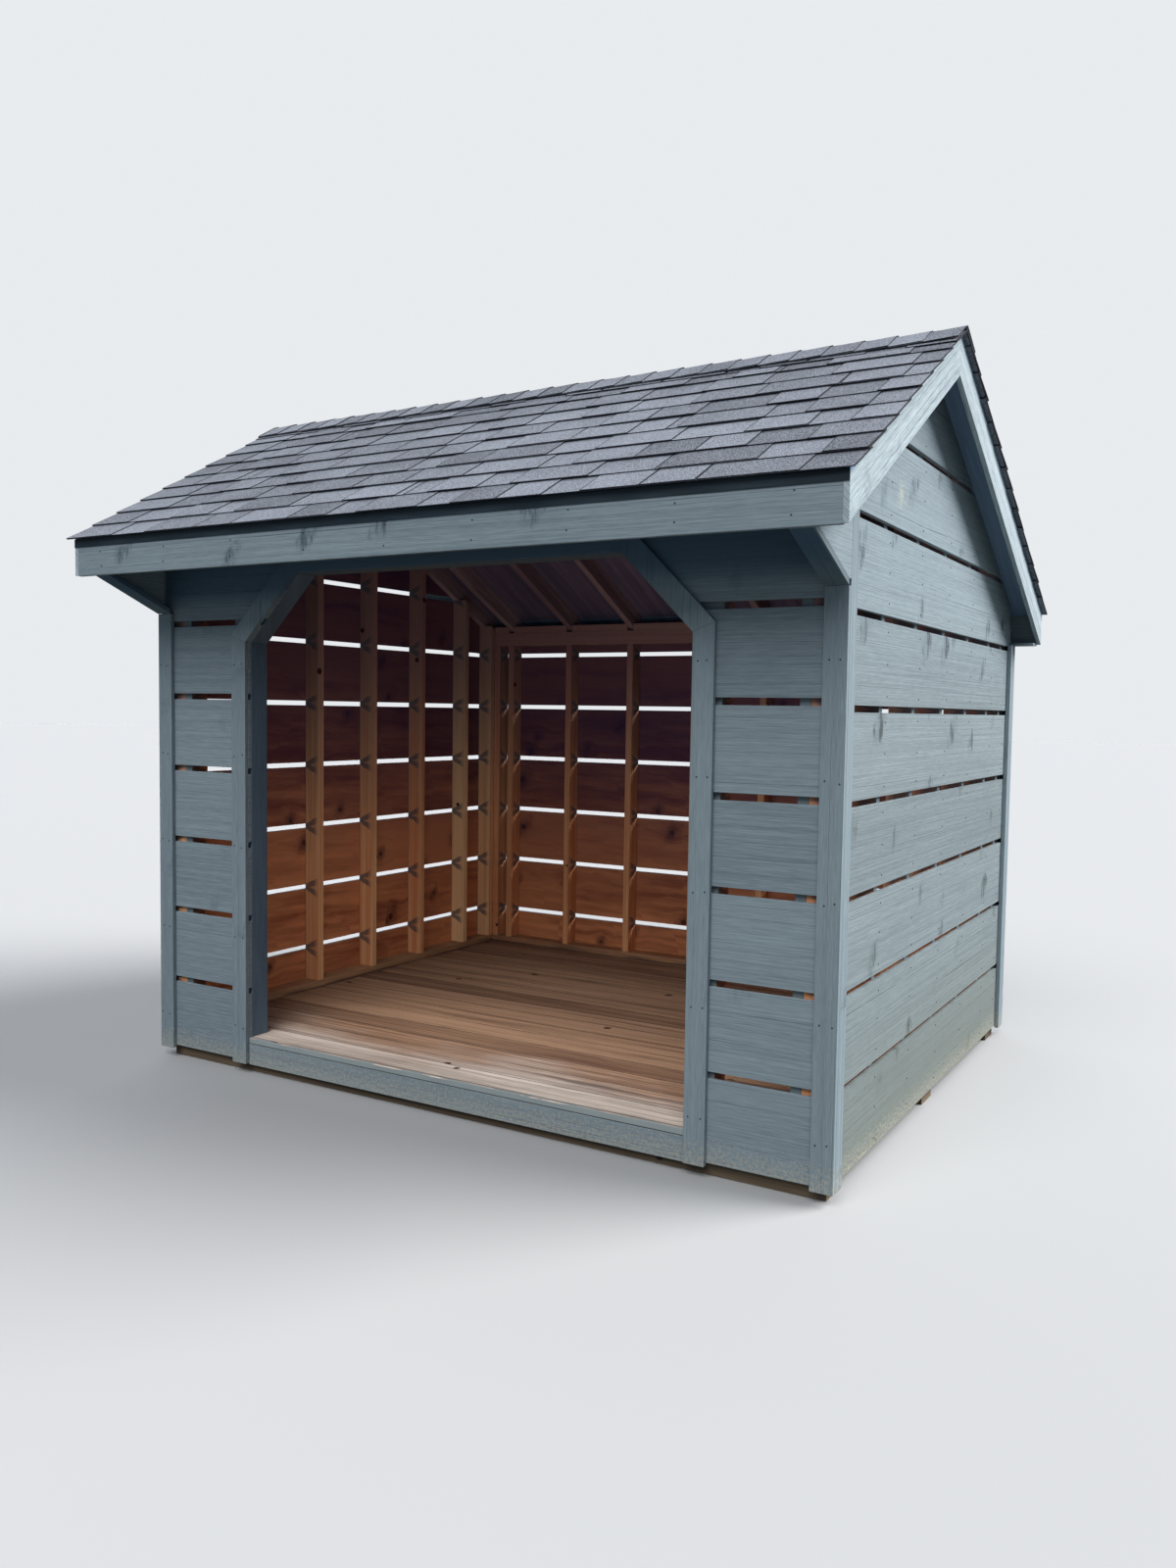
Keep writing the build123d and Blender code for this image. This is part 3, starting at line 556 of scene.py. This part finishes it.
# On the side boards the paint is drawn lighter upwards as painted light, and darker towards the
# ground as dust and painted shade.
side_boards = painted_wood(
    "side_board_paint", "side", (-2, -2, first_gap), (2, 4, SIDE_PITCH),
    painted_light_upwards=0.2, dust_and_low_shade=True, resin=RESIN_SPOT,
)
back_boards = painted_wood("back_board_paint", "front", (-2, 0, first_gap), (4, 4, SIDE_PITCH))
front_boards = painted_wood(
    "front_board_paint", "front", (-MIDDLE_CELL / 2, -4, first_gap),
    (MIDDLE_CELL, 4, FRONT_PITCH), ribs=0.8, smears=0.2,
)
# The header boards' paint is drawn darker upwards as painted shade under the overhang.
header_boards = painted_wood(
    "header_board_paint", "front", *one_cell, ribs=0.8, smears=0.2, painted_light_upwards=-0.8
)
dress(("left_wall_boards", "right_wall_boards"), side_boards, EASE)
dress(("back_wall_boards",), back_boards, EASE)
dress(("front_left_boards", "front_right_boards"), front_boards, EASE)
dress(("header_boards",), header_boards, EASE)

# Trim
# Planed boards with the same paint: corner boards, the mitred frame round the
# opening, and the sill board under the nosing. The jambs and braces inside the
# opening are drawn in a darker, bluer paint as painted shade.

post_trim = painted_wood(
    "post_trim_paint", "post", (0, -2, 0), (1.3, 4, 4), ribs=0.35, smears=0.3
)
strip_trim = painted_wood(
    "strip_trim_paint", "post", (-2, -2, 0), (2, 4, 4), ribs=1.2, smears=0.4
)
beam_trim = painted_wood(
    "beam_trim_paint", "front", (-2, -2, 0), (4, 4, 1), ribs=0.35, smears=0.3
)
brace_trim = painted_wood(
    "brace_trim_paint", "post", (0, -2, 0), (4, 4, 1), ribs=0.35, smears=0.2
)
dress(("opening_side_trims", "front_corner_trims", "back_corner_trims"), post_trim, EASE)
dress(("opening_corner_trims",), brace_trim, EASE)
dress(("front_side_strips",), strip_trim, EASE)
dress(("opening_head_trim", "sill_board"), beam_trim, EASE)


def shaded_lining_paint():
    """Paint all over, for the jambs and braces that the opening shows, darker and bluer than the
    paint outside as painted shade.
    """
    material, place, piece = new_material("shaded_lining_paint", (-2, -2, 0), (2, 4, 4))
    along, across, _ = grain_axes(place, "post")
    seed = piece * 40.0
    clouds = streaks(along, across, seed, 1.4, 9.0, 4.0)
    fine = streaks(along, across, seed, 8.0, 300.0)
    paint = ((clouds - 0.5) * 1.1 + (fine - 0.5) * 0.8 + 0.45).rises(0.0, 1.0)
    tone = paint.blend(colour(76, 92, 107), colour(104, 120, 135))
    return finish_material(material, tone, 0.66 + fine * 0.2, clouds * 0.3 + fine * 0.7, 0.001)


dress(("jamb_boards", "knee_braces"), shaded_lining_paint(), EASE)

# Fascias, rakes and returns
# Rough boards on edge round the roof, with strong ribs and knots, and the
# slanted returns that carry the front overhang back to the corners.

RETURN_TILT = -0.42
halves = ((-2, -4, 0), (2, 4, 4))
fascia_paint = painted_wood("fascia_paint", "front", *one_cell, smears=0.9)
# The returns' paint is drawn darker upwards as painted shade, and the painted overhang shade
# reaches further out over them.
return_paint = painted_wood(
    "return_trim_paint", "slope", *halves, RETURN_TILT,
    ribs=0.4, smears=0.3, painted_light_upwards=-1.1, painted_shade_reach=0.034,
)
dress(("front_fascia", "back_fascia", "back_soffit"), fascia_paint, EASE)
for name, tilt in (("front", FRONT_TILT), ("back", BACK_TILT)):
    rake_paint = painted_wood(
        name + "_rake_paint", "slope", *halves, tilt, ribs=1.5, smears=0.5, worn=0.7
    )
    dress((name + "_rakes",), rake_paint, EASE)
dress(("return_sides",), side_boards, EASE)
dress(("return_trims",), return_paint, EASE)

# Shingles
# Laminated asphalt shingles in straight courses: a felt strip with a second layer
# in broad teeth on it, all coated with charcoal mineral granules. The teeth
# differ in width and a little in shade, and their butts throw a dark line.

EXPOSURE = 0.143
HEAD_LAP = 0.03
EAVE_OVERHANG = 0.012
LAST_COURSE = 0.178
DECK_THICK = 0.012
STRIP_LENGTH = 1.0
STRIP_THICK = 0.0030
STRIP_JOINT = 0.0015
STRIP_LIFT = 0.0078
TOOTH_BASE = 0.0034
TOOTH_JOINT = 0.004
TOOTH_RESTS = (0.003, 0.14, 0.20, 0.26)
roof_face_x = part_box("front_shingles")[1].x
random.seed(41)


def granules():
    """Mineral grains, coarse and fine, with a shade for each tooth."""
    material, place, piece = new_material("granules")
    inputs = {"Vector": place, "Scale": 210.0, "Detail": 2.0, "Roughness": 0.7}
    coarse = place.node("TexNoise", {}, inputs)
    fine = place.node("TexNoise", {}, {"Vector": place, "Scale": 640.0, "Detail": 1.0})
    patch = place.node("TexNoise", {}, {"Vector": place, "Scale": 5.0, "Detail": 3.0})
    shade = (coarse - 0.5) * 2.6 + (fine - 0.5) * 1.6 + (piece - 0.5) * 0.30
    shade = (shade + (patch - 0.5) * 0.3 + 0.46).rises(-0.1, 1.1)
    tone = shade.blend(colour(37, 40, 46), colour(143, 148, 158))
    return finish_material(material, tone, 0.86 + fine * 0.1, coarse * 0.6 + fine * 0.4, 0.0012)


granule_finish = granules()


def cut_felt():
    """The black asphalt that a shingle's cut edges show."""
    material, place, _ = new_material("cut_felt")
    rough = place.node("TexNoise", {}, {"Vector": place, "Scale": 180.0, "Detail": 2.0})
    tone = rough.blend(colour(18, 20, 26), colour(52, 54, 62))
    return finish_material(material, tone, 0.9 + rough * 0.05, rough, 0.0005)


felt_edge = cut_felt()


def tab_pattern():
    """One unit tab: butt at y = 0, head at y = 1, its butt edge a little rounded."""
    bpy.ops.mesh.primitive_cube_add(size=1, location=(0.5, 0.5, 0.5))
    bpy.ops.object.mode_set(mode="EDIT")
    bpy.ops.mesh.select_all(action="DESELECT")
    bpy.ops.object.mode_set(mode="OBJECT")
    tab = bpy.context.object
    for edge in tab.data.edges:
        ends = [tab.data.vertices[i].co for i in edge.vertices]
        edge.select = all(end.y < 0 and end.z > 0 for end in ends)
    bpy.ops.object.mode_set(mode="EDIT")
    bpy.ops.mesh.bevel(offset=0.012, segments=1)
    bpy.ops.object.mode_set(mode="OBJECT")
    bpy.ops.object.transform_apply(location=True, rotation=True, scale=True)
    bpy.ops.object.mode_set(mode="EDIT")
    for cut in (0.25, 0.75):
        bpy.ops.mesh.select_all(action="SELECT")
        bpy.ops.mesh.bisect(plane_co=(cut, 0, 0), plane_no=(1, 0, 0))
    bpy.ops.object.mode_set(mode="OBJECT")
    tab.data.materials.append(granule_finish)
    tab.data.materials.append(felt_edge)
    for face in tab.data.polygons:
        cut_edge = abs(face.normal.z) < 0.5 or abs(face.center.x - 0.5) > 0.3
        face.material_index = 1 if cut_edge else 0
    return tab


def lay(pattern, slope, left, width, start, length, thickness, low, lift, skew=0.0):
    """A copy of the tab on a slope, its butt lifted and its sides skewed.

    The tab's two cuts go close beside its ends, and leave a narrow strip of bare
    felt there.
    """
    copy = bpy.data.objects.new("tab", pattern.data.copy())
    bpy.context.collection.objects.link(copy)
    for vertex in copy.data.vertices:
        x, y, z = vertex.co
        side = skew if x > 0.5 else -skew
        inset = 0.0 if x in (0, 1) else math.copysign(TOOTH_JOINT, 0.5 - x)
        x_at = left + round(x) * width + inset + side * (1 - y)
        height = low + (1 - y) * lift + z * thickness
        vertex.co = slope @ Vector((x_at, start + y * length, height))
    return copy


def roof_slope(name, direction, tilt):
    """Matrix from a slope's own plane, seen from the eave, to the shed."""
    low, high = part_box(name + "_sheathing")
    eave_y = low.y if direction > 0 else high.y
    up_slope = Vector((0, direction * math.cos(tilt), math.sin(tilt)))
    outward = Vector((0, -direction * math.sin(tilt), math.cos(tilt)))
    across = up_slope.cross(outward)
    turn = Matrix((across, up_slope, outward)).transposed().to_4x4()
    origin = Vector((0, eave_y, low.z)) + outward * DECK_THICK
    length = (high.z - low.z) / math.sin(tilt)
    return Matrix.Translation(origin) @ turn, length


def join_pieces(pieces, name):
    """Makes one object of its loose pieces."""
    bpy.ops.object.select_all(action="DESELECT")
    for piece in pieces:
        piece.select_set(True)
    bpy.context.view_layer.objects.active = pieces[0]
    bpy.ops.object.join()
    joined = bpy.context.object
    joined.name = name
    joined.data.name = name
    bpy.ops.object.select_all(action="DESELECT")
    return joined


def lay_strips(pattern, slope, start, run):
    """The felt strips of one course, end to end, with the first one cut short."""
    laid = []
    strip_start = -roof_face_x
    strip_end = strip_start + random.uniform(0.35, STRIP_LENGTH)
    while strip_start < roof_face_x:
        strip_end = min(strip_end, roof_face_x)
        width = strip_end - strip_start - STRIP_JOINT
        butt = start + random.uniform(-0.0012, 0.0012)
        laid.append(lay(
            pattern, slope, strip_start, width, butt, run, STRIP_THICK, 0.0005, STRIP_LIFT
        ))
        strip_start = strip_end
        strip_end = strip_start + STRIP_LENGTH
    return laid


def lay_teeth(pattern, slope, start, run):
    """The teeth of one course, no two alike in width, thickness or rest."""
    laid = []
    tooth_start = -roof_face_x
    while tooth_start < roof_face_x - 0.03:
        width = min(random.uniform(0.17, 0.33), roof_face_x - tooth_start)
        rest = random.choice(TOOTH_RESTS)
        butt = start + random.uniform(-0.002, 0.0015)
        thickness = random.uniform(0.0028, 0.0034)
        lift = random.uniform(0.0074, 0.0082)
        skew = random.uniform(-0.004, 0.004)
        laid.append(lay(
            pattern, slope, tooth_start, width, butt, run, thickness, TOOTH_BASE, lift, skew
        ))
        tooth_start += width + rest
    return laid


def shingle_slope(name, direction, tilt):
    """Courses from the eave up, and a last one cut to end at the ridge."""
    slope, length = roof_slope(name, direction, tilt)
    pattern = tab_pattern()
    courses = int((length - LAST_COURSE - EAVE_OVERHANG) / EXPOSURE) + 1
    starts = [course * EXPOSURE - EAVE_OVERHANG for course in range(courses)]
    starts.append(length - LAST_COURSE)
    laid = []
    for start in starts:
        run = min(EXPOSURE + HEAD_LAP, length - start)
        laid += lay_strips(pattern, slope, start, run)
        laid += lay_teeth(pattern, slope, start, run)
    bpy.data.objects.remove(pattern)
    shingles = join_pieces(laid, name + "_shingle_courses")
    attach(shingles, "root")
    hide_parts(name + "_shingles")


shingle_slope("front", 1, FRONT_TILT)
shingle_slope("back", -1, -BACK_TILT)

# Ridge caps
# Cut shingles folded over the ridge one after another from the right, each over the
# head of the last, so that the ridge steps at every butt.

CAP_EXPOSURE = 0.125
CAP_LENGTH = 0.25
CAP_REACH = 0.150
CAP_THICK = 0.0042
CAP_LIFT = 0.0095
FOLD_ROUND = 0.014
ridge_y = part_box("front_shingles")[1].y
ridge_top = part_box("front_sheathing")[1].z + 0.010


def cap_profile(width):
    """Where a point of the cap lies, by its distance from the fold."""
    eased = math.hypot(width, FOLD_ROUND) - 0.008
    tilt = FRONT_TILT if width < 0 else -BACK_TILT
    step = math.copysign(eased, width) * math.cos(tilt)
    return ridge_y + step, ridge_top - eased * math.sin(tilt)


def ridge_caps():
    """Caps from the right end to the left, where the last ones are cut off."""
    bpy.ops.mesh.primitive_grid_add(x_subdivisions=2, y_subdivisions=10, size=1)
    pattern = bpy.context.object
    for vertex in pattern.data.vertices:
        x, y, _ = vertex.co
        place_y, place_z = cap_profile(2 * y * CAP_REACH)
        vertex.co = (x * CAP_LENGTH, place_y, place_z)
    thick = pattern.modifiers.new("thickness", "SOLIDIFY")
    thick.thickness = CAP_THICK
    thick.offset = 1.0
    bpy.ops.object.modifier_apply(modifier="thickness")
    pattern.data.materials.append(granule_finish)
    pattern.data.materials.append(felt_edge)
    for face in pattern.data.polygons:
        side_edge = face.area < 0.0006 and abs(face.normal.y) > 0.6
        face.material_index = 1 if side_edge or abs(face.normal.x) > 0.7 else 0
    laid = []
    for step in range(int(2 * roof_face_x / CAP_EXPOSURE) + 1):
        right = roof_face_x - step * CAP_EXPOSURE
        copy = bpy.data.objects.new("cap", pattern.data.copy())
        bpy.context.collection.objects.link(copy)
        droop = random.uniform(-0.002, 0.002)
        for vertex in copy.data.vertices:
            share = vertex.co.x / CAP_LENGTH + 0.5
            vertex.co.x = max(right - (1 - share) * CAP_LENGTH, -roof_face_x)
            vertex.co.z += CAP_LIFT * share + 0.003
            vertex.co.y += droop * share
        laid.append(copy)
    bpy.data.objects.remove(pattern)
    caps = join_pieces(laid, "ridge_caps")
    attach(caps, "root")
    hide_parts("ridge_cap")


ridge_caps()

# Drip edges
# Folded metal over the tops of the fascias, under the first course, in a dark
# satin blue-green.


def drip_material():
    """Satin paint on metal, under a little dust."""
    material, place, _ = new_material("drip_metal")
    along, across, _ = grain_axes(place, "front")
    dust = streaks(along, across, 1.0, 4.0, 40.0, 4.0)
    tone = dust.rises(0.3, 0.8).blend(colour(24, 37, 45), colour(44, 57, 65))
    return finish_material(material, tone, 0.42 + dust * 0.2, dust, 0.0003)


dress(("drip_edges",), drip_material())

# Nails
# Round wire nails, driven flush and painted over, in rows where the boards cross
# the studs and along the trim.

NAIL_RADIUS = 0.0032
NAIL_HEAD = 0.0030
NAIL_STRAY = 0.006
BOARD_NAILS = (0.035, 0.143, 0.251)
POST_NAILS = (1.052, 1.092, 1.502, 1.542)
POST_NAIL_PITCH = 0.385
FASCIA_NAILS = (0.035, 0.10)
FASCIA_NAIL_PITCH = 0.376
random.seed(7)


def nail_pattern():
    """A round head with eased rims, set half its depth into the face."""
    bpy.ops.mesh.primitive_cylinder_add(vertices=8, radius=NAIL_RADIUS, depth=NAIL_HEAD)
    nail = bpy.context.object
    bpy.ops.object.mode_set(mode="EDIT")
    bpy.ops.mesh.select_all(action="SELECT")
    bpy.ops.mesh.bevel(offset=0.0006, segments=1, affect="EDGES")
    bpy.ops.object.mode_set(mode="OBJECT")
    return nail


def nail_material():
    """Steel under paint, with a shade for each nail and some rust."""
    material, place, piece = new_material("painted_nails")
    rust = place.node("TexNoise", {}, {"Vector": place, "Scale": 60.0, "Detail": 2.0})
    bare = (rust * 0.6 + piece * 0.6).rises(0.5, 0.9)
    tone = bare.blend(colour(50, 58, 64), colour(66, 62, 60))
    return finish_material(material, tone, 0.5 + rust * 0.2, rust, 0.0003)


nail_steel = nail_material()


def drive(name, spots):
    """Sets a nail at each spot, square to the face whose outward way is given."""
    pattern = nail_pattern()
    driven = []
    for spot, way in spots:
        copy = bpy.data.objects.new("nail", pattern.data.copy())
        bpy.context.collection.objects.link(copy)
        turn = Vector(way).to_track_quat("Z", "Y").to_matrix().to_4x4()
        stray_x = random.uniform(-NAIL_STRAY, NAIL_STRAY)
        stray_y = random.uniform(-NAIL_STRAY, NAIL_STRAY)
        stray = Matrix.Translation((stray_x, stray_y, 0))
        copy.data.transform(Matrix.Translation(spot) @ turn @ stray)
        driven.append(copy)
    bpy.data.objects.remove(pattern)
    nails = join_pieces(driven, name)
    nails.data.materials.clear()
    nails.data.materials.append(nail_steel)
    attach(nails, "root")


def board_nail_levels(top):
    """Heights of the nails in the side and back boards, three to a board."""
    levels = []
    for row in range(10):
        levels += [board_base + row * SIDE_PITCH + height for height in BOARD_NAILS]
    return [level for level in levels if level < top]


side_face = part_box("right_wall_boards")[1].x
ridge_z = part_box("front_rafters")[1].z
side_studs = [FIRST_SIDE_STUD + STUD_PITCH * step for step in range(5)]
side_studs.append(frame_back - 0.108)
side_spots = []
for stud_y in side_studs:
    tilt = FRONT_TILT if stud_y < ridge_y else BACK_TILT
    rafter_z = ridge_z - (ridge_y - stud_y) * math.tan(tilt)
    for level in board_nail_levels(rafter_z - 0.16):
        side_spots.append(((side_face, stud_y, level), (1, 0, 0)))
        side_spots.append(((-side_face, stud_y, level), (-1, 0, 0)))
drive("side_wall_nails", side_spots)

back_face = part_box("back_wall_boards")[1].y
back_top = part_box("back_wall_boards")[1].z
back_spots = []
for step in range(1, 8):
    stud_x = HALF_FRAME - STUD_PITCH * step
    for level in board_nail_levels(back_top - 0.02):
        back_spots.append(((stud_x, back_face, level), (0, 1, 0)))
drive("back_wall_nails", back_spots)

trim_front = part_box("front_corner_trims")[0].y
trim_spots = []
for step in range(5):
    for side in (-1, 1):
        for nail_x in POST_NAILS:
            level = 0.20 + POST_NAIL_PITCH * step
            trim_spots.append(((side * nail_x, trim_front, level), (0, -1, 0)))
fascia_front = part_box("front_fascia")[0].y
fascia_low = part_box("front_fascia")[0].z
for step in range(9):
    for height in FASCIA_NAILS:
        nail_x = -1.505 + FASCIA_NAIL_PITCH * step
        trim_spots.append(((nail_x, fascia_front, fascia_low + height), (0, -1, 0)))
drive("trim_nails", trim_spots)

# Studio
# A plain floor and a soft sky, with a broad light from behind on the right, weaker
# ones from the front and the back left, and a soft lamp in the opening. The camera
# stands where the photographer stood.

bpy.ops.mesh.primitive_plane_add(size=160, location=(0, 0, -0.001))
floor = bpy.context.object
floor.name = "studio_floor"


def studio_floor_material():
    """Pale to the camera, and darker in what it throws back on the shed."""
    material = bpy.data.materials.new("studio_floor")
    material.use_nodes = True
    tree = material.node_tree
    shader = tree.nodes["Principled BSDF"]
    path = Shade(tree, tree.nodes.new("ShaderNodeLightPath").outputs["Is Camera Ray"])
    tone = path.blend(colour(84, 90, 88), colour(160, 160, 160))
    tree.links.new(tone.socket, shader.inputs["Base Color"])
    shader.inputs["Roughness"].default_value = 0.9
    return material


floor.data.materials.append(studio_floor_material())

world = bpy.data.worlds.new("studio")
bpy.context.scene.world = world
world.use_nodes = True
sky = world.node_tree
backdrop = sky.nodes["Background"].inputs
seen = Shade(sky, sky.nodes.new("ShaderNodeLightPath").outputs["Is Camera Ray"])
sky_tone = seen.blend(colour(196, 218, 250), colour(232, 235, 238))
sky.links.new(sky_tone.socket, backdrop["Color"])
sky.links.new((0.30 + seen * 0.70).socket, backdrop["Strength"])

for lamp_name, way, energy, breadth in (
    ("side_light", (0.66, 0.40, 0.63), 6.0, 42),
    ("front_light", (0.10, -0.65, 0.76), 2.6, 44),
    ("back_light", (-0.66, 0.62, 0.42), 0.9, 60),
):
    sun = bpy.data.lights.new(lamp_name, "SUN")
    sun.energy = energy
    sun.angle = math.radians(breadth)
    lamp = bpy.data.objects.new(lamp_name, sun)
    lamp.rotation_euler = Vector(way).to_track_quat("Z", "Y").to_euler()
    bpy.context.collection.objects.link(lamp)

fill = bpy.data.lights.new("inside_light", "AREA")
fill.shape = "RECTANGLE"
fill.size = 1.7
fill.size_y = 1.1
fill.energy = 7.4
fill.color = colour(232, 240, 255)[:3]
lamp = bpy.data.objects.new("inside_light", fill)
lamp.rotation_euler = Vector((0, -1, 0.08)).to_track_quat("Z", "Y").to_euler()
lamp.location = (0.12, frame_front + 0.10, 0.95)
lamp.visible_camera = False
bpy.context.collection.objects.link(lamp)

camera_data = bpy.data.cameras.new("camera")
camera_data.sensor_width = 36
camera_data.lens = 27.576
camera = bpy.data.objects.new("camera", camera_data)
bpy.context.collection.objects.link(camera)
standpoint = Matrix.Translation((2.7682, -4.7269, 1.5663))
heading = Matrix.Rotation(math.radians(30.55), 4, "Z")
pitch = Matrix.Rotation(math.radians(90 - 3.48), 4, "X")
roll = Matrix.Rotation(math.radians(0.83), 4, "Z")
camera.matrix_world = standpoint @ heading @ pitch @ roll
bpy.context.scene.camera = camera

bpy.context.scene.view_settings.view_transform = "Standard"
